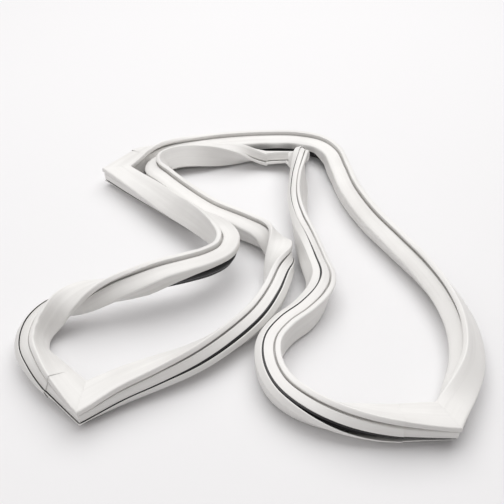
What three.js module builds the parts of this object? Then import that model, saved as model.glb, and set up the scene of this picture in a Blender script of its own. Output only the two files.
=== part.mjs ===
// Refrigerator door gasket, lying twisted on a table as it comes out of its packet.
// Millimetres, +Z up. One white vinyl loop of four sides, heat-welded at mitred corners,
// with a magnet strip in the sealing face of each side and a rigid dart strip on its back.
import * as THREE from "three";

// Section of the extrusion. u runs to the inner side of the gasket, v to its sealing face.
const sealWidth = 24; // sealing face, edge to edge
const sealTop = 8.5; // sealing face above the section's middle
const sealThickness = 4.8; // magnet block, face to bellows groove
const faceSkin = 1; // vinyl between the magnet and the door frame
const baseInner = 8.5; // inner side of the base block
const baseOuter = -11; // outer side of the base block
const baseTop = 2.2;
const baseBottom = -5.5;
const innerGrooveDepth = 7.5; // bellows groove, inner side
const outerGrooveDepth = 6; // bellows groove, outer side
const edgeRadius = 1.2; // rounded edges of the sealing face
const flapBottom = -13; // outer surface of the soft flap that covers the dart strip
const flapThickness = 1.2;
const flapRound = 1.5; // bend between the flap's leg and its cover
const flapKnee = -7.2; // beyond this the flap rises towards the base
const flapRise = 2.4;
const flapTip = 0.6; // shortest rising part of the flap
const chamberInner = 4.5; // air chamber that lets the base flex
const chamberOuter = -8;
const chamberTop = 0.8;
const chamberBottom = -4.2;
const slitWidth = 0.7; // slit by which each chamber breathes

// Flexible magnet strip and rigid dart strip, with their clearances.
const magnetWidth = 10;
const magnetThickness = 2.2;
const magnetGap = 0.45; // round the magnet in its pocket
const dartGap = 0.3; // between the dart's plate and the base
const dartInner = -1;
const dartOuter = -10.4;
const dartRidge = -4.6; // middle of the ridge
const dartPlate = 1.4; // plate that is welded to the base
const dartNeck = 3.2; // width of the ridge below the plate
const dartBarb = 5; // width across the barbs
const dartDepth = 4.2; // plate and ridge together
const stripEndGap = 0.6; // strips stop this far from each mitre
const spanSteps = 2; // rings to each span between two route points

const vinylColour = 0xe6e5e0;
const dartColour = 0x2b2a2c;
const magnetColour = 0x3a3431;

// Route of the section's middle, as it lies: x, y, z, roll in degrees and the flap's edge. Roll 0
// has the sealing face up, 90 has it facing left of the way that the side runs, -90 to the right.
// The flap's free edge is at that u: near -10 it hides the dart strip, near 0 it is drawn back.
const bottomSide = [
  [-146, 120, 12.8, 0, -7.5],
  [-128, 101, 14, -8, -7.5],
  [-108, 80, 16, -18, -7.5],
  [-80, 49, 20, -36, -7.5],
  [-50, 17, 26, -60, -6],
  [-32, -6, 29, -80, -3],
  [-24, -24, 30, -90, -1],
  [-27, -40, 30, -93, -1],
  [-40, -53, 31, -94, -1.5],
  [-57, -62, 32, -92, -3],
  [-78, -71, 33, -84, -5],
  [-100, -80, 33, -64, -7.5],
  [-124, -87, 30, -38, -8.5],
  [-148, -94, 25, 6, -10.5],
  [-168, -104, 18, 54, -10.5],
  [-179, -121, 14, 72, -10.5],
  [-177, -142, 13.8, 64, -10.5],
  [-165, -160, 15, 46, -10.5],
  [-149, -178, 15.2, 26, -9.5],
  [-127, -198, 14.2, 12, -8.5],
];
const hingeSide = [
  [-127, -198, 14.2, 12, -8.5],
  [-102, -181, 14.5, 14, -8.5],
  [-76, -167, 15, 24, -8],
  [-48, -151, 15.2, 40, -8],
  [-22, -129, 14.6, 54, -7.5],
  [1, -103, 13.2, 68, -7.5],
  [16, -76, 12.4, 78, -8],
  [23, -48, 14.2, 62, -8.5],
  [26, -18, 15.4, 0, -8.5],
  [17, 6, 14.8, -62, -8.5],
  [-6, 26, 12.4, -84, -8.5],
  [-40, 49, 12.2, -88, -7.5],
  [-70, 80, 12.2, -88, -7.5],
  [-91, 106, 12.4, -84, -7.5],
  [-102, 124, 13, -74, -7.5],
  [-100, 140, 13.8, -66, -7.5],
  [-86, 149, 14.4, -60, -7.5],
  [-60, 155, 14.4, -57, -7.5],
  [-20, 160, 14.4, -68, -7.5],
  [18, 160, 14.2, -108, -8.5],
  [50, 156, 15, -135, -10],
];
const topSide = [
  [50, 156, 15, -180, -10],
  [49, 141, 27, -206, -10.5],
  [48, 120, 33, -248, -10.5],
  [47, 92, 26, -286, -10.5],
  [45, 60, 17, -292, -10.5],
  [47, 28, 14, -280, -10.5],
  [52, -4, 13.5, -256, -9],
  [58, -36, 13.5, -244, -8],
  [63, -60, 13.5, -246, -8],
  [59, -80, 14, -258, -8.5],
  [46, -101, 13.5, -268, -8.5],
  [28, -119, 13, -270, -8.5],
  [17, -138, 13, -272, -8.5],
  [16, -160, 13, -274, -8],
  [25, -183, 13.5, -280, -8],
  [46, -201, 14.5, -296, -7.5],
  [76, -212, 15.2, -322, -7.5],
  [110, -216, 14.8, -342, -7.5],
  [143, -215, 14.4, -346, -7.5],
];
const handleSide = [
  [143, -215, 14.4, 14, -7.5],
  [156, -190, 16, -26, -9],
  [170, -160, 16.4, -42, -10.5],
  [176, -124, 16.3, -48, -10.5],
  [172, -86, 16.1, -53, -10.5],
  [159, -46, 15.4, -60, -10.5],
  [140, -6, 14.5, -68, -10.5],
  [120, 36, 13.6, -75, -10.5],
  [105, 82, 12.6, -82, -10.5],
  [98, 122, 12.3, -88, -9],
  [92, 154, 12.2, -90, -4],
  [79, 178, 12.2, -90, -1],
  [52, 189, 12.2, -90, 0.5],
  [14, 190, 12.2, -90, -1],
  [-26, 186, 12.2, -88, -6],
  [-66, 178, 12.6, -76, -9],
  [-101, 168, 14.6, -46, -8.5],
  [-126, 149, 13.8, -12, -7.5],
  [-146, 120, 12.8, 0, -7.5],
];

const sides = [
  { name: "bottom", route: bottomSide },
  { name: "hinge", route: hingeSide },
  { name: "top", route: topSide },
  { name: "handle", route: handleSide },
];

const up = new THREE.Vector3(0, 0, 1);
const at = (u, v) => new THREE.Vector2(u, v);

// Points of a quarter round from one direction to the next, about a centre.
function corner(u, v, radius, startDeg) {
  const points = [];
  for (let step = 0; step <= 2; step++) {
    const angle = THREE.MathUtils.degToRad(startDeg + step * 45);
    points.push(at(u + radius * Math.cos(angle), v + radius * Math.sin(angle)));
  }
  return points;
}

// White extrusion: magnet block, bellows grooves, base with its air chamber, and lip.
function profileOutline(flapEdge) {
  const half = sealWidth / 2;
  const sealBottom = sealTop - sealThickness;
  const pocketHalf = magnetWidth / 2 + magnetGap;
  const pocketTop = sealTop - faceSkin;
  const pocketBottom = pocketTop - magnetThickness - 2 * magnetGap;
  const neckInner = half - innerGrooveDepth;
  const neckOuter = -half + outerGrooveDepth;
  const flapTop = flapBottom + flapThickness;
  const legInner = baseInner - flapThickness;
  const knee = Math.max(flapKnee, flapEdge + flapTip);
  const rise = Math.min(knee - flapEdge - flapTip, flapRise);
  const flapMiddle = (legInner + knee) / 2;
  return [
    ...corner(half - edgeRadius, sealTop - edgeRadius, edgeRadius, 0),
    at(pocketHalf, sealTop),
    at(-pocketHalf, sealTop),
    ...corner(-half + edgeRadius, sealTop - edgeRadius, edgeRadius, 90),
    at(-half, sealBottom),
    at(neckOuter, sealBottom),
    at(neckOuter, baseTop),
    at(chamberOuter + slitWidth, baseTop),
    at(chamberOuter + slitWidth, chamberTop),
    at(chamberInner, chamberTop),
    at(chamberInner, chamberBottom),
    at(chamberOuter, chamberBottom),
    at(chamberOuter, baseTop),
    at(baseOuter, baseTop),
    at(baseOuter, baseBottom),
    at(dartOuter, baseBottom),
    at(dartInner, baseBottom),
    at(legInner, baseBottom),
    at(legInner, flapTop),
    at(flapMiddle, flapTop),
    at(knee, flapTop),
    at(flapEdge, flapTop + rise),
    at(flapEdge, flapBottom + rise),
    at(knee, flapBottom),
    at(flapMiddle, flapBottom),
    at(baseInner - flapRound, flapBottom),
    at(baseInner, flapBottom + flapRound),
    at(baseInner, baseTop),
    at(neckInner, baseTop),
    at(neckInner, sealBottom),
    at(pocketHalf - slitWidth, sealBottom),
    at(pocketHalf - slitWidth, pocketBottom),
    at(-pocketHalf, pocketBottom),
    at(-pocketHalf, pocketTop),
    at(pocketHalf, pocketTop),
    at(pocketHalf, sealBottom),
    at(half, sealBottom),
  ];
}

// Magnet strip: a plain flat bar in the middle of its pocket.
function magnetOutline() {
  const top = sealTop - faceSkin - magnetGap;
  const half = magnetWidth / 2;
  return [
    at(half, top),
    at(-half, top),
    at(-half, top - magnetThickness),
    at(half, top - magnetThickness),
  ];
}

// Dart strip: a plate under the base, and a barbed ridge that snaps into the door's groove.
function dartOutline() {
  const top = baseBottom - dartGap;
  const plate = top - dartPlate;
  const tip = top - dartDepth;
  const barb = (plate + tip) / 2;
  return [
    at(dartInner, top),
    at(dartOuter, top),
    at(dartOuter, plate),
    at(dartRidge - dartNeck / 2, plate),
    at(dartRidge - dartBarb / 2, barb),
    at(dartRidge - dartNeck / 4, tip),
    at(dartRidge + dartNeck / 4, tip),
    at(dartRidge + dartBarb / 2, barb),
    at(dartRidge + dartNeck / 2, plate),
    at(dartInner, plate),
  ];
}

// A side's route as a smooth curve with a roll at every point of it.
function sidePath(route) {
  const curve = new THREE.CatmullRomCurve3(
    route.map(([x, y, z]) => new THREE.Vector3(x, y, z)),
    false,
    "centripetal",
  );
  const last = route.length - 1;
  const along = (column) => (t) => {
    const from = Math.min(Math.floor(t * last), last - 1);
    return THREE.MathUtils.lerp(route[from][column], route[from + 1][column], t * last - from);
  };
  return { curve, last, rollAt: along(3), flapAt: along(4) };
}

// Frame of one ring: where the section's u and v point at t of a side's path.
function frameAt(path, t) {
  const along = path.curve.getTangent(t);
  const left = new THREE.Vector3().crossVectors(up, along).normalize();
  const top = new THREE.Vector3().crossVectors(along, left);
  const roll = THREE.MathUtils.degToRad(path.rollAt(t));
  const v = top.clone().multiplyScalar(Math.cos(roll)).addScaledVector(left, Math.sin(roll));
  const u = left.multiplyScalar(Math.cos(roll)).addScaledVector(top, -Math.sin(roll));
  return { origin: path.curve.getPoint(t), u, v, flap: path.flapAt(t) };
}

// Frame of a mitre: the welded plane halfway between the two sides that meet there.
function mitreFrame(before, after) {
  const arrive = before.curve.getTangent(1);
  const leave = after.curve.getTangent(0);
  const v = new THREE.Vector3().crossVectors(arrive, leave).normalize();
  const arriveInner = new THREE.Vector3().crossVectors(v, arrive);
  const leaveInner = new THREE.Vector3().crossVectors(v, leave);
  const u = arriveInner.clone().add(leaveInner);
  u.divideScalar(1 + arriveInner.dot(leaveInner));
  return { origin: after.curve.getPoint(0), u, v, flap: after.flapAt(0) };
}

// Frames between a side's two mitres. The mitres' own slant fills the first and last span.
function innerFrames(path) {
  const steps = (path.last - 2) * spanSteps;
  const first = 1 / path.last;
  const reach = (path.last - 2) / path.last;
  const frames = [];
  for (let step = 0; step <= steps; step++) {
    frames.push(frameAt(path, first + (reach * step) / steps));
  }
  return frames;
}

const ringOf = (frame, outlineOf) =>
  outlineOf(frame.flap).map((p) =>
    frame.origin.clone().addScaledVector(frame.u, p.x).addScaledVector(frame.v, p.y),
  );

const moved = (frame, along, distance) => ({
  ...frame,
  origin: frame.origin.clone().addScaledVector(along, distance),
});

// Facing surfaces of a pocket and its strip are split along the same diagonal, so that
// they keep their clearance where the section twists.
const leansIn = (from, to) => to.x + to.y / 2 > from.x + from.y / 2;

// Closed body through a row of rings: joined end to end, or capped at both ends.
function loft(frames, outlineOf, closed) {
  const outline = outlineOf(frames[0].flap);
  const size = outline.length;
  const vertices = frames.flatMap((frame) => ringOf(frame, outlineOf));
  const faces = [];
  const spans = closed ? frames.length : frames.length - 1;
  for (let ring = 0; ring < spans; ring++) {
    const here = ring * size;
    const next = ((ring + 1) % frames.length) * size;
    for (let j = 0; j < size; j++) {
      const k = (j + 1) % size;
      if (leansIn(outline[j], outline[k])) {
        faces.push([here + j, here + k, next + k], [here + j, next + k, next + j]);
      } else {
        faces.push([here + j, here + k, next + j], [here + k, next + k, next + j]);
      }
    }
  }
  if (!closed) {
    const end = (frames.length - 1) * size;
    for (const [a, b, c] of THREE.ShapeUtils.triangulateShape(outline, [])) {
      faces.push([c, b, a], [end + a, end + b, end + c]);
    }
  }
  const geometry = new THREE.BufferGeometry().setFromPoints(vertices);
  geometry.setIndex(faces.flat());
  geometry.computeVertexNormals();
  return geometry;
}

const paths = sides.map((side) => sidePath(side.route));
const mitres = paths.map((path, i) => mitreFrame(paths.at(i - 1), path));

// One vinyl loop: the four sides are welded into a single body.
function gasketProfile() {
  const frames = paths.flatMap((path, i) => [mitres[i], ...innerFrames(path)]);
  const material = new THREE.MeshStandardMaterial({ color: vinylColour, roughness: 0.45 });
  const mesh = new THREE.Mesh(loft(frames, profileOutline, true), material);
  mesh.name = "gasket_profile";
  return mesh;
}

// A strip that runs along one side and stops just short of both mitres.
function sideStrip(i, name, outlineOf, colour, roughness) {
  const path = paths[i];
  const start = moved(mitres[i], path.curve.getTangent(0), stripEndGap);
  const end = moved(mitres[(i + 1) % sides.length], path.curve.getTangent(1), -stripEndGap);
  const material = new THREE.MeshStandardMaterial({ color: colour, roughness });
  const mesh = new THREE.Mesh(loft([start, ...innerFrames(path), end], outlineOf, false), material);
  mesh.name = `${name}_${sides[i].name}`;
  return mesh;
}

const gasket = new THREE.Group();
gasket.name = "refrigerator_door_gasket";
gasket.add(gasketProfile());
sides.forEach((side, i) => {
  gasket.add(sideStrip(i, "dart_strip", dartOutline, dartColour, 0.5));
  gasket.add(sideStrip(i, "magnet_strip", magnetOutline, magnetColour, 0.8));
});

// The part's own frame: middle of its outline on the table.
const box = new THREE.Box3().setFromObject(gasket, true);
const middle = box.getCenter(new THREE.Vector3());
const toFrame = new THREE.Vector3(-middle.x, -middle.y, -box.min.z);
gasket.children.forEach((mesh) => mesh.position.copy(toFrame));

export default gasket;
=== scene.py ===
import math

import bpy
import numpy as np
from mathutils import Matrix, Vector


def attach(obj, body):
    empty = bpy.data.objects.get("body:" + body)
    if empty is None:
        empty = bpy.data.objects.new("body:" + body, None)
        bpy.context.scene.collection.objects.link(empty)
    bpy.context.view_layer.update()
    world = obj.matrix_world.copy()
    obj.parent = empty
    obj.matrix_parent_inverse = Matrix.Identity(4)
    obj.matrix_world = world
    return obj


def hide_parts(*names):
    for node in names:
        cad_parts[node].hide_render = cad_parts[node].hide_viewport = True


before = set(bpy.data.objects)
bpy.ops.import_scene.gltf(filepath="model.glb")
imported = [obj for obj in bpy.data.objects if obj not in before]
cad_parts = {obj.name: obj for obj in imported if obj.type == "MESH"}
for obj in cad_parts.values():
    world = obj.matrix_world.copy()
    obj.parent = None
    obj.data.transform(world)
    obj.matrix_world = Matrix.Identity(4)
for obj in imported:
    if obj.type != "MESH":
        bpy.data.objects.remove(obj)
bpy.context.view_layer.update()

# What a user would change. Lengths of the section and the routes are in millimetres:
# u runs to the gasket's inner side, v to its sealing face.
section = {
    "sealWidth": 24,
    "sealTop": 8.5,
    "sealBottom": 3.7,
    "neckInner": 4.5,
    "neckOuter": -6,
    "baseInner": 8.5,
    "baseOuter": -11,
    "baseTop": 2.2,
    "baseBottom": -5.5,
    "flapBottom": -13,
    "flapThickness": 1.2,
    "flapKnee": -7.2,
    "flapSlope": 1.45,
    "flapTip": 0.6,
    "flapSpread": 12,
    "pocketHalf": 5.45,
    "pocketTop": 7.5,
    "pocketBottom": 4.4,
    "chamberInner": 4.5,
    "chamberOuter": -8,
    "chamberTop": 0.8,
    "chamberBottom": -4.2,
    "slit": 0.7,
}
# Radii of the section's corners.
rounds = {
    "seal": 1.5,
    "sealEdge": 0.8,
    "neck": 0.5,
    "groove": 0.4,
    "slitLip": 0.2,
    "pocket": 0.3,
    "chamber": 0.6,
    "baseTop": 0.9,
    "baseBottom": 0.7,
    "leg": 0.8,
    "heel": 2.3,
    "knee": 0.2,
    "flapEdge": 0.3,
}
magnet = {
    "half": 5,
    "top": 7.05,
    "bottom": 4.85,
    "round": 0.3,
    "colour": (0.045, 0.036, 0.031),
    "roughness": 0.8,
}
dart = {
    "inner": -1,
    "outer": -10.4,
    "ridge": -4.6,
    "top": -5.8,
    "plate": -7.2,
    "tip": -10,
    "neck": 3.2,
    "barb": 5,
    "plateRound": 0.5,
    "neckRound": 0.4,
    "barbRound": 0.3,
    "colour": (0.024, 0.023, 0.025),
    "roughness": 0.42,
    "streakScale": (4, 30, 1),
    "streakDetail": 2,
    "bumpStrength": 0.3,
    "bumpDistance": 0.0003,
}
weld = {"bead": 0.22, "reach": 0.6, "stripGap": 0.6}
# A crease starts this far above the magnet pocket and has its full depth that much higher.
crease = {"start": 0.3, "rise": 0.6}
# How much of a groove's gape lifts the sealing face, and how much lowers the wall below.
gape = {"lift": 0.35, "drop": 0.65}
vinyl = {
    "colour": (0.83, 0.82, 0.80),
    "shade": (0.73, 0.718, 0.698),
    "roughness": 0.45,
    "streakScale": (6, 60, 1),
    "streakDetail": 3,
    "blotchScale": 14,
    "blotchDetail": 4,
    "shadeUpTo": 0.12,
    "colourFrom": 0.3,
    "bumpStrength": 0.25,
    "bumpDistance": 0.0004,
}

# How finely the loft is cut. Steps along a route are shares of it, from 0 to 1, and nearMitre
# are shares of the span beside a mitre.
loft = {
    "ringStep": 3.3,
    "longestStep": 3.8,
    "fewestRings": 3,
    "nearMitre": (0.008, 0.02, 0.045, 0.09),
    "samplesPerSpan": 40,
    "tangentStep": 0.0001,
    "slopeStep": 0.002,
    "longestCut": 0.45,
    "cornerSteps": 3,
    "stripCornerSteps": 2,
    "smoothAngle": 38,
}
hair = 0.1  # keeps a level of the section apart from the points that lie on it

# The stage, in metres and watts.
floor = {"size": 12, "below": 0.0002, "colour": (0.81, 0.806, 0.812), "roughness": 0.7}
camera = {"lens": 52.5, "sensor": 36, "location": (0, -0.5557, 0.45)}
lights = {
    "softbox": {"location": (0.1, 0.7, 1.75), "size": 2.4, "energy": 40},
    "fill": {"location": (-1.2, -0.6, 1.3), "size": 1.4, "energy": 4.5},
}
studio = {"strength": 0.36, "colour": (1, 0.97, 0.965)}

# From the routes' own origin to the middle of the outline on the table.
toFrame = np.array((2.127, 14.539, 0.745))

# Route of the section's middle along each side, as it lies: x, y, z, roll in degrees, the
# flap's edge and how much of the section's depth is left where it is pressed flat. Roll 0 has
# the sealing face up, 90 has it facing left of the way the side runs. The flap hides the dart
# strip where its edge is near -12, and is drawn back near 0.
routes = {
    "bottom": [
        (-146, 120, 12.8, 0, -11.5, 1), (-128, 101, 14, -8, -11.5, 1),
        (-108, 80, 16, -18, -11.5, 1), (-80, 49, 20, -36, -11.5, 1), (-50, 17, 26, -60, -11.5, 1),
        (-32, -6, 29, -80, -1, 1), (-24, -24, 30, -90, 1.5, 1), (-27, -40, 30, -93, 2.5, 1),
        (-40, -53, 31, -94, 2.5, 1), (-57, -62, 32, -92, 0.5, 1), (-78, -71, 33, -84, -4, 1),
        (-100, -80, 33, -64, -9, 1), (-124, -87, 30, -38, -11.5, 1), (-148, -94, 25, 6, -12, 1),
        (-168, -104, 18, 54, -12, 1), (-179, -121, 14, 72, -12, 1), (-177, -142, 13.8, 64, -12, 1),
        (-165, -160, 15, 46, -12, 1), (-149, -178, 15.2, 26, -12, 1),
        (-127, -198, 14.2, 12, -12, 1),
    ],
    "hinge": [
        (-127, -198, 14.2, 12, -12, 1), (-102, -181, 14.5, 14, -12, 1),
        (-76, -167, 15, 24, -11.6, 1), (-48, -151, 15.2, 40, -10.8, 1),
        (-22, -129, 14.6, 54, -10.5, 1), (1, -103, 13.2, 68, -10.5, 1),
        (16, -76, 12.4, 78, -10.8, 1), (23, -48, 14.2, 62, -11.4, 1), (26, -18, 15.4, 0, -11.8, 1),
        (17, 6, 14.8, -62, -11.8, 1), (-6, 26, 12.4, -84, -11.8, 1), (-40, 49, 12.2, -88, -11.8, 1),
        (-70, 80, 12.2, -88, -11.8, 1), (-91, 106, 12.4, -84, -11.8, 1),
        (-102, 124, 13, -68, -11.8, 1), (-100, 140, 13.8, -57, -11.8, 1),
        (-86, 149, 14.4, -50, -11.8, 1), (-60, 155, 14.2, -60, -10, 0.95),
        (-20, 160, 15, -112, -3, 0.78), (18, 160, 11.8, -172, 0.5, 0.62),
        (50, 156, 13.4, -180, -0.5, 0.62),
    ],
    "top": [
        (50, 156, 13.4, -180, -0.5, 0.62), (49, 141, 22, -206, -11.9, 0.66),
        (48, 120, 33, -248, -11.9, 0.68), (47, 92, 26, -286, -11.9, 0.68),
        (45, 60, 17, -292, -11.9, 0.7), (47, 28, 14, -280, -11.9, 0.72),
        (52, -4, 13.5, -256, -11.4, 0.8), (58, -36, 13.5, -244, -10.7, 0.9),
        (63, -60, 13.5, -246, -10.8, 1), (59, -80, 14, -258, -11.8, 1),
        (46, -101, 13.5, -268, -11.9, 1), (28, -119, 13, -270, -11.9, 1),
        (17, -138, 13, -272, -11.5, 1), (16, -160, 13, -274, -11.1, 1),
        (25, -183, 13.5, -280, -10.8, 1), (46, -201, 14.5, -296, -10.2, 1),
        (76, -212, 15.2, -322, -8.5, 1), (110, -216, 14.8, -342, -7.5, 1),
        (143, -215, 14.4, -346, -8, 1),
    ],
    "handle": [
        (143, -215, 14.4, 14, -8, 1), (156, -190, 16, -26, -11.8, 1),
        (170, -160, 16.4, -42, -11.8, 1), (176, -124, 16.3, -48, -11.8, 1),
        (172, -86, 16.1, -53, -11.8, 1), (159, -46, 15.4, -60, -11.8, 1),
        (140, -6, 14.5, -68, -11.8, 1), (120, 36, 13.6, -75, -11.8, 1),
        (105, 82, 12.6, -82, -11.8, 1), (98, 122, 12.3, -88, -9, 1), (92, 154, 12.2, -90, -4, 1),
        (79, 175, 12.2, -84, 1, 1), (52, 186, 12.2, -84, 1.5, 1), (14, 187, 12.2, -84, 1, 1),
        (-26, 183, 12.2, -82, -4, 1), (-66, 175, 12.6, -70, -9, 1), (-101, 165, 14.6, -40, -8.5, 1),
        (-126, 149, 13.8, -12, -7.5, 1), (-146, 120, 12.8, 0, -11.5, 1),
    ],
}
sideNames = list(routes)

# Where the soft vinyl isn't as it came off the extruder. at and span are millimetres along
# the side from its first mitre; slant is how far a fold runs along the side per unit of u.
folds = {
    "bottom": [
        {"kind": "wrinkles", "at": 118, "span": 44, "pitch": 11, "slant": 1.2, "depth": 0.5},
        {"kind": "wrinkles", "at": 392, "span": 60, "pitch": 14, "slant": -0.9, "depth": 0.7},
    ],
    "hinge": [
        {"kind": "wrinkles", "at": 452, "span": 40, "pitch": 8, "slant": 0, "depth": 0.5},
    ],
    "top": [
        {"kind": "wrinkles", "at": 330, "span": 60, "pitch": 10, "slant": 0.3, "depth": 0.4},
        {"kind": "gape", "at": 450, "span": 130, "edge": "outer", "open": 1.1},
        {"kind": "gape", "at": 250, "span": 110, "edge": "inner", "open": 0.7},
    ],
    "handle": [
        {"kind": "flap", "at": 450, "span": 190, "open": 2, "wave": 2.2, "sway": 2, "pitch": 33},
        {"kind": "wrinkles", "at": 420, "span": 60, "pitch": 13, "slant": 0.4, "depth": 0.5},
        {"kind": "gape", "at": 190, "span": 200, "edge": "outer", "open": 0.6},
    ],
}


def softened(corners, steps):
    # The outline with its corners rounded. A corner of radius 0 stays one point.
    points = []
    for i, (u, v, radius) in enumerate(corners):
        here = np.array((u, v), float)
        if radius == 0:
            points.append(here)
            continue
        before = np.array(corners[i - 1][:2], float) - here
        after = np.array(corners[(i + 1) % len(corners)][:2], float) - here
        toBefore, toAfter = np.linalg.norm(before), np.linalg.norm(after)
        before, after = before / toBefore, after / toAfter
        halfAngle = math.acos(max(-1, min(1, before @ after))) / 2
        longestCut = loft["longestCut"] * min(toBefore, toAfter)
        cut = min(radius / math.tan(halfAngle), longestCut)
        for s in np.linspace(0, 1, steps + 1):
            start, end = here + before * cut, here + after * cut
            points.append((1 - s) ** 2 * start + 2 * s * (1 - s) * here + s * s * end)
    return np.array(points)


def splitCounts(points):
    # How many pieces each step of an outline is cut into, the same for every ring.
    gaps = np.roll(points, -1, axis=0) - points
    longest = loft["longestStep"]
    return [max(1, math.ceil(length / longest)) for length in np.linalg.norm(gaps, axis=1)]


def subdivided(points, pieces):
    out = []
    for i, here in enumerate(points):
        gap = points[(i + 1) % len(points)] - here
        out += [here + gap * k / pieces[i] for k in range(pieces[i])]
    return np.array(out)


def profileOutline(edge):
    # Anticlockwise from the sealing face's inner corner, round the air chamber and the magnet
    # pocket by their slits.
    d, r = section, rounds
    half = d["sealWidth"] / 2
    flapTop = d["flapBottom"] + d["flapThickness"]
    legInner = d["baseInner"] - d["flapThickness"]
    knee = max(d["flapKnee"], edge + d["flapTip"])
    rise = d["flapSlope"] * (knee - edge - d["flapTip"])
    slitEnd = d["chamberOuter"] + d["slit"]
    slitStart = d["pocketHalf"] - d["slit"]
    corners = [
        (half, d["sealTop"], r["seal"]),
        (-half, d["sealTop"], r["seal"]),
        (-half, d["sealBottom"], r["sealEdge"]),
        (d["neckOuter"], d["sealBottom"], r["neck"]),
        (d["neckOuter"], d["baseTop"], r["groove"]),
        (slitEnd, d["baseTop"], 0),
        (slitEnd, d["chamberTop"], 0),
        (d["chamberInner"], d["chamberTop"], r["chamber"]),
        (d["chamberInner"], d["chamberBottom"], r["chamber"]),
        (d["chamberOuter"], d["chamberBottom"], r["chamber"]),
        (d["chamberOuter"], d["baseTop"], 0),
        (d["baseOuter"], d["baseTop"], r["baseTop"]),
        (d["baseOuter"], d["baseBottom"], r["baseBottom"]),
        (dart["outer"], d["baseBottom"], 0),
        (dart["inner"], d["baseBottom"], 0),
        (legInner, d["baseBottom"], r["leg"]),
        (legInner, flapTop, r["leg"]),
        (knee, flapTop, r["knee"]),
        (edge, flapTop + rise, r["flapEdge"]),
        (edge, d["flapBottom"] + rise, r["flapEdge"]),
        (knee, d["flapBottom"], r["knee"]),
        (d["baseInner"], d["flapBottom"], r["heel"]),
        (d["baseInner"], d["baseTop"], r["baseTop"]),
        (d["neckInner"], d["baseTop"], r["neck"]),
        (d["neckInner"], d["sealBottom"], r["slitLip"]),
        (slitStart, d["sealBottom"], 0),
        (slitStart, d["pocketBottom"], 0),
        (-d["pocketHalf"], d["pocketBottom"], r["pocket"]),
        (-d["pocketHalf"], d["pocketTop"], r["pocket"]),
        (d["pocketHalf"], d["pocketTop"], r["pocket"]),
        (d["pocketHalf"], d["sealBottom"], 0),
        (half, d["sealBottom"], r["sealEdge"]),
    ]
    return softened(corners, loft["cornerSteps"])


def magnetOutline():
    half, top, bottom = magnet["half"], magnet["top"], magnet["bottom"]
    corners = [(half, top), (-half, top), (-half, bottom), (half, bottom)]
    return softened([(*corner, magnet["round"]) for corner in corners], loft["stripCornerSteps"])


def dartOutline():
    d = dart
    barb = (d["plate"] + d["tip"]) / 2
    corners = [
        (d["inner"], d["top"], 0),
        (d["outer"], d["top"], 0),
        (d["outer"], d["plate"], d["plateRound"]),
        (d["ridge"] - d["neck"] / 2, d["plate"], d["neckRound"]),
        (d["ridge"] - d["barb"] / 2, barb, d["barbRound"]),
        (d["ridge"] - d["neck"] / 4, d["tip"], d["neckRound"]),
        (d["ridge"] + d["neck"] / 4, d["tip"], d["neckRound"]),
        (d["ridge"] + d["barb"] / 2, barb, d["barbRound"]),
        (d["ridge"] + d["neck"] / 2, d["plate"], d["neckRound"]),
        (d["inner"], d["plate"], d["plateRound"]),
    ]
    return softened(corners, loft["stripCornerSteps"])


def pointAt(route, t):
    # Centripetal Catmull-Rom through the stations, t from 0 to 1.
    points = route[:, :3]
    last = len(points) - 1
    i = min(max(int(math.floor(t * last)), 0), last - 1)
    w = t * last - i
    p1, p2 = points[i], points[i + 1]
    p0 = points[i - 1] if i > 0 else 2 * points[0] - points[1]
    p3 = points[i + 2] if i + 2 <= last else 2 * points[last] - points[last - 1]
    d0, d1, d2 = (np.linalg.norm(b - a) ** 0.5 for a, b in ((p0, p1), (p1, p2), (p2, p3)))
    m1 = ((p1 - p0) / d0 - (p2 - p0) / (d0 + d1) + (p2 - p1) / d1) * d1
    m2 = ((p2 - p1) / d1 - (p3 - p1) / (d1 + d2) + (p3 - p2) / d2) * d1
    return hermite(p1, p2, m1, m2, w)


def hermite(a, b, slopeA, slopeB, w):
    # From a at w 0 to b at w 1, leaving and arriving with the given slopes.
    bend = -3 * a + 3 * b - 2 * slopeA - slopeB
    return a + slopeA * w + bend * w * w + (2 * a - 2 * b + slopeA + slopeB) * w ** 3


def tangentAt(route, t):
    step = loft["tangentStep"]
    along = pointAt(route, min(t + step, 1)) - pointAt(route, max(t - step, 0))
    return along / np.linalg.norm(along)


def valueAt(route, column, t):
    # Uniform Catmull-Rom through one column of the stations.
    last = len(route) - 1
    i = min(max(int(math.floor(t * last)), 0), last - 1)
    values = route[:, column]
    before = values[i - 1] if i > 0 else 2 * values[0] - values[1]
    after = values[i + 2] if i + 2 <= last else 2 * values[last] - values[last - 1]
    slopeA, slopeB = (values[i + 1] - before) / 2, (after - values[i]) / 2
    return hermite(values[i], values[i + 1], slopeA, slopeB, t * last - i)


def frameAt(route, t):
    # A place on the route, with the section's u and v directions there.
    along = tangentAt(route, t)
    left = np.cross((0, 0, 1), along)
    left /= np.linalg.norm(left)
    top = np.cross(along, left)
    roll = math.radians(valueAt(route, 3, t))
    u = left * math.cos(roll) - top * math.sin(roll)
    v = top * math.cos(roll) + left * math.sin(roll)
    return pointAt(route, t), u, v


def mitreFrame(before, after):
    # The place where two sides meet, with u drawn out along the mitre.
    arrive, leave = tangentAt(before, 1), tangentAt(after, 0)
    v = np.cross(arrive, leave)
    v /= np.linalg.norm(v)
    arriveInner, leaveInner = np.cross(v, arrive), np.cross(v, leave)
    u = (arriveInner + leaveInner) / (1 + arriveInner @ leaveInner)
    return after[0, :3], u, v


def ring(place, outline):
    origin, u, v = place
    return origin + outline[:, :1] * u + outline[:, 1:] * v


def pressed(outline, left):
    # The section pressed towards its sealing face.
    shape = outline.copy()
    shape[:, 1] = section["sealTop"] - (section["sealTop"] - outline[:, 1]) * left
    return shape


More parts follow.
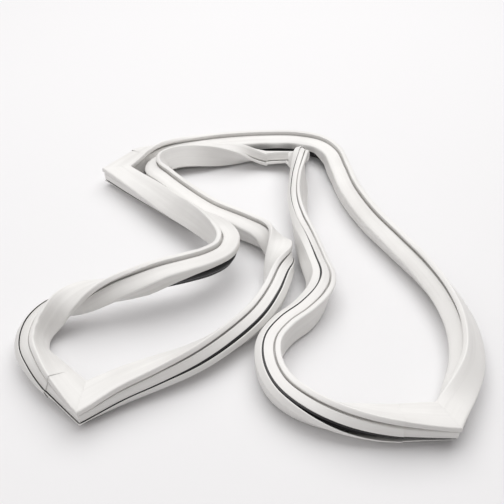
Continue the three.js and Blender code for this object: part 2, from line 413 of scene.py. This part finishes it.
def outwards(outline):
    # Unit normals that point out of the section, one for each point of it.
    along = np.roll(outline, -1, axis=0) - np.roll(outline, 1, axis=0)
    normal = np.stack((along[:, 1], -along[:, 0]), axis=1)
    return normal / np.linalg.norm(normal, axis=1)[:, None]


def bell(distance, span):
    return 0 if abs(distance) >= span / 2 else 0.5 + 0.5 * math.cos(2 * math.pi * distance / span)


def folded(outline, side, along):
    # The section at this place of the side, with its wrinkles, gaping grooves and wavy flap.
    shape = outline.copy()
    u, v = outline[:, 0], outline[:, 1]
    half = section["sealWidth"] / 2
    face = np.clip((v - section["pocketTop"] - crease["start"]) / crease["rise"], 0, 1)
    flap = np.clip((section["baseInner"] - u) / section["flapSpread"], 0, 1)
    flap = flap * (v < section["baseBottom"] - hair)
    for fold in folds[side]:
        share = bell(along - fold["at"], fold["span"])
        if share == 0:
            continue
        if fold["kind"] == "wrinkles":
            phase = 2 * math.pi * (along + fold["slant"] * u) / fold["pitch"]
            shape[:, 1] -= fold["depth"] * share * face * (0.5 + 0.5 * np.cos(phase))
        elif fold["kind"] == "flap":
            wave = math.sin(2 * math.pi * along / fold["pitch"])
            shape[:, 0] += share * flap * fold["sway"] * wave
            shape[:, 1] -= share * flap * (fold["open"] + fold["wave"] * wave)
        else:
            outer = fold["edge"] == "outer"
            neck = section["neckOuter" if outer else "neckInner"]
            edge = -half if outer else half
            reach = np.clip((u - neck) / (edge - neck), 0, 1)
            aboveGroove = v > section["sealBottom"] - hair
            wall = (v > 0) & ~aboveGroove
            parted = gape["lift"] * aboveGroove - gape["drop"] * wall
            shape[:, 1] += fold["open"] * share * reach * parted
    return shape


def sideRings(index, outlineAt, withFolds):
    # Rings between a side's two mitres, each with its place along the side.
    name = sideNames[index]
    route = paths[index]
    last = len(route) - 1
    t = np.linspace(0, 1, loft["samplesPerSpan"] * last + 1)
    steps = np.diff([pointAt(route, x) for x in t], axis=0)
    walked = np.concatenate(([0], np.cumsum(np.linalg.norm(steps, axis=1))))
    total = walked[-1]
    first, final = 1 / last, 1 - 1 / last

    def shapeAt(along):
        place = np.interp(along, walked, t)
        outline = outlineAt(valueAt(route, 4, place))
        shape = folded(outline, name, along) if withFolds else outline
        shape = pressed(shape, valueAt(route, 5, place))
        normals = outwards(outline)
        fromWeld = min(along, total - along)
        bead = weld["bead"] * math.exp(-((fromWeld / weld["reach"]) ** 2)) * withFolds
        return shape + bead * normals

    def station(x):
        return ring(frameAt(route, x), shapeAt(np.interp(x, t, walked)))

    def endSpan(place, direction, x, sign):
        # From a mitre's ring to the first whole station, or back from the last one.
        mitreShape = shapeAt(0 if sign > 0 else total)
        atMitre = ring(place, mitreShape)
        atStation = station(x)
        forward = station(x + loft["slopeStep"]) - station(x - loft["slopeStep"])
        forward /= np.linalg.norm(forward, axis=1)[:, None]
        reach = np.linalg.norm(atStation - atMitre, axis=1)[:, None]
        length = np.interp(first, t, walked) if sign > 0 else total - np.interp(final, t, walked)
        count = max(loft["fewestRings"], round(length / loft["ringStep"]))
        shares = [*loft["nearMitre"], *np.linspace(0, 1, count + 1)[1:-1]]
        rings = []
        for w in sorted(shares):
            along = w * length if sign > 0 else total - w * length
            plain = hermite(atMitre, atStation, sign * direction * reach, forward * reach, w)
            drift = shapeAt(along) - mitreShape * (1 - w) - shapeAt(np.interp(x, t, walked)) * w
            _, uAxis, vAxis = frameAt(route, min(max(x - sign * (1 - w) / last, 0), 1))
            rings.append((along, plain + drift[:, :1] * uAxis + drift[:, 1:] * vAxis))
        return rings

    start = mitres[index]
    end = mitres[(index + 1) % len(paths)]
    opening = endSpan(start, tangentAt(route, 0), first, 1)
    closing = endSpan(end, tangentAt(route, 1), final, -1)[::-1]
    inner = np.interp(first, t, walked), np.interp(final, t, walked)
    count = round((inner[1] - inner[0]) / loft["ringStep"])
    stops = np.linspace(*inner, count + 1)
    middle = [(along, station(np.interp(along, walked, t))) for along in stops]
    return [*opening, *middle, *closing], total


def meshFrom(name, rings, closed, material):
    # Quads from ring to ring, with millimetres along and share around kept as the UV map.
    size = len(rings[0][1])
    count = len(rings)
    vertices = (np.concatenate([points for _, points in rings]) + toFrame) / 1000
    faces, uvs = [], []
    for r in range(count if closed else count - 1):
        here, following = r * size, (r + 1) % count * size
        a = rings[r][0] / 1000
        b = rings[(r + 1) % count][0] / 1000
        b = b if b > a else a + loft["ringStep"] / 1000
        for j in range(size):
            k = (j + 1) % size
            faces.append((here + j, here + k, following + k, following + j))
            low, high = j / size, (j + 1) / size
            uvs += [(a, low), (a, high), (b, high), (b, low)]
    if not closed:
        faces.append(tuple(range(size))[::-1])
        faces.append(tuple(range((count - 1) * size, count * size)))
        uvs += [(0, 0)] * (2 * size)
    mesh = bpy.data.meshes.new(name)
    mesh.from_pydata(vertices.tolist(), [], faces)
    layer = mesh.uv_layers.new(name="alongAround")
    layer.data.foreach_set("uv", np.array(uvs, np.float32).ravel())
    mesh.materials.append(material)
    made = bpy.data.objects.new(name, mesh)
    bpy.context.scene.collection.objects.link(made)
    bpy.ops.object.select_all(action="DESELECT")
    made.select_set(True)
    bpy.context.view_layer.objects.active = made
    bpy.ops.object.shade_smooth_by_angle(angle=math.radians(loft["smoothAngle"]))
    return made


def plainMaterial(name, colour, roughness):
    material = bpy.data.materials.new(name)
    material.use_nodes = True
    tree = material.node_tree
    shader = next(node for node in tree.nodes if node.type == "BSDF_PRINCIPLED")
    shader.inputs["Base Color"].default_value = (*colour, 1)
    shader.inputs["Roughness"].default_value = roughness
    return material, tree, shader


def streaks(tree, scale, detail):
    # Noise drawn out along the extrusion, in the mesh's own UV map.
    uv = tree.nodes.new("ShaderNodeUVMap")
    uv.uv_map = "alongAround"
    stretch = tree.nodes.new("ShaderNodeMapping")
    stretch.inputs["Scale"].default_value = scale
    noise = tree.nodes.new("ShaderNodeTexNoise")
    noise.inputs["Scale"].default_value = 1
    noise.inputs["Detail"].default_value = detail
    tree.links.new(uv.outputs["UV"], stretch.inputs["Vector"])
    tree.links.new(stretch.outputs["Vector"], noise.inputs["Vector"])
    return noise


def blotches(tree, scale, detail):
    # Noise in the object's own space, for broad patches.
    place = tree.nodes.new("ShaderNodeTexCoord")
    noise = tree.nodes.new("ShaderNodeTexNoise")
    noise.inputs["Scale"].default_value = scale
    noise.inputs["Detail"].default_value = detail
    tree.links.new(place.outputs["Object"], noise.inputs["Vector"])
    return noise


def bumped(tree, shader, noise, strength, distance):
    bump = tree.nodes.new("ShaderNodeBump")
    bump.inputs["Strength"].default_value = strength
    bump.inputs["Distance"].default_value = distance
    tree.links.new(noise.outputs["Fac"], bump.inputs["Height"])
    tree.links.new(bump.outputs["Normal"], shader.inputs["Normal"])


def vinylMaterial():
    d = vinyl
    material, tree, shader = plainMaterial("whiteVinyl", d["colour"], d["roughness"])
    streak = streaks(tree, d["streakScale"], d["streakDetail"])
    blotch = blotches(tree, d["blotchScale"], d["blotchDetail"])
    both = tree.nodes.new("ShaderNodeMath")
    both.operation = "MULTIPLY"
    tree.links.new(streak.outputs["Fac"], both.inputs[0])
    tree.links.new(blotch.outputs["Fac"], both.inputs[1])
    ramp = tree.nodes.new("ShaderNodeValToRGB")
    shade, plain = ramp.color_ramp.elements
    shade.position, shade.color = d["shadeUpTo"], (*d["shade"], 1)
    plain.position, plain.color = d["colourFrom"], (*d["colour"], 1)
    tree.links.new(both.outputs[0], ramp.inputs["Fac"])
    tree.links.new(ramp.outputs["Color"], shader.inputs["Base Color"])
    bumped(tree, shader, streak, d["bumpStrength"], d["bumpDistance"])
    return material


def dartMaterial():
    d = dart
    material, tree, shader = plainMaterial("charcoalVinyl", d["colour"], d["roughness"])
    streak = streaks(tree, d["streakScale"], d["streakDetail"])
    bumped(tree, shader, streak, d["bumpStrength"], d["bumpDistance"])
    return material


print("scene: materials")
whiteVinyl = vinylMaterial()
charcoal = dartMaterial()
magnetMaterial = plainMaterial("flexibleMagnet", magnet["colour"], magnet["roughness"])[0]
floorMaterial = plainMaterial("floor", floor["colour"], floor["roughness"])[0]

print("scene: profile")
paths = [np.array(routes[name], float) for name in sideNames]
mitres = [mitreFrame(paths[i - 1], paths[i]) for i in range(len(paths))]
profilePieces = splitCounts(profileOutline(section["flapKnee"]))


def profileAt(edge):
    return subdivided(profileOutline(edge), profilePieces)


rings = []
for i, path in enumerate(paths):
    shape = profileAt(path[0, 4])
    bead = weld["bead"] * outwards(shape)
    rings.append((0, ring(mitres[i], pressed(shape, path[0, 5]) + bead)))
    rings += sideRings(i, profileAt, True)[0]
profile = meshFrom("gasketProfile", rings, True, whiteVinyl)
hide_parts("gasket_profile")
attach(profile, "root")
print("scene: profile has", len(shape), "points by", len(rings), "rings")

print("scene: strips")
stripKinds = (
    ("dartStrip", "dart_strip", dartOutline(), charcoal, "charcoal_vinyl"),
    ("magnetStrip", "magnet_strip", magnetOutline(), magnetMaterial, "flexible_magnet"),
)
for i, sideName in enumerate(sideNames):
    for piece, node, shape, material, slotName in stripKinds:
        rows, total = sideRings(i, lambda edge: shape, False)
        gap = weld["stripGap"]
        for end, nearMitre, sign in ((0, mitres[i], 1), (1, mitres[(i + 1) % len(paths)], -1)):
            origin, uAxis, vAxis = nearMitre
            along = tangentAt(paths[i], end) * sign
            left = paths[i][-end, 5]
            capped = (gap if sign > 0 else total - gap,
                      ring((origin + along * gap, uAxis, vAxis), pressed(shape, left)))
            rows = [x for x in rows if min(x[0], total - x[0]) > 2 * gap]
            rows = [capped, *rows] if sign > 0 else [*rows, capped]
        strip = meshFrom(f"{piece}{sideName.capitalize()}", rows, False, material)
        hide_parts(f"{node}_{sideName}")
        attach(strip, "root")

print("scene: stage")
bpy.ops.mesh.primitive_plane_add(size=floor["size"], location=(0, 0, -floor["below"]))
table = bpy.context.active_object
table.name = "floor"
table.data.materials.append(floorMaterial)

for name, light in lights.items():
    bpy.ops.object.light_add(type="AREA", location=light["location"])
    lamp = bpy.context.active_object
    lamp.name = name
    lamp.data.size = light["size"]
    lamp.data.energy = light["energy"]
    aim = -lamp.location
    lamp.rotation_euler = aim.to_track_quat("-Z", "Y").to_euler()

world = bpy.data.worlds.new("studio")
bpy.context.scene.world = world
world.use_nodes = True
background = world.node_tree.nodes["Background"]
background.inputs["Color"].default_value = (*studio["colour"], 1)
background.inputs["Strength"].default_value = studio["strength"]

shift = toFrame / 1000
bpy.ops.object.camera_add(location=tuple(np.array(camera["location"]) + shift))
eye = bpy.context.active_object
eye.name = "camera"
eye.data.lens = camera["lens"]
eye.data.sensor_width = camera["sensor"]
eye.data.dof.use_dof = False
aim = Vector(shift - np.array(eye.location))
eye.rotation_euler = aim.to_track_quat("-Z", "Y").to_euler()
bpy.context.scene.camera = eye
bpy.context.scene.view_settings.view_transform = "Standard"

print("scene: done")
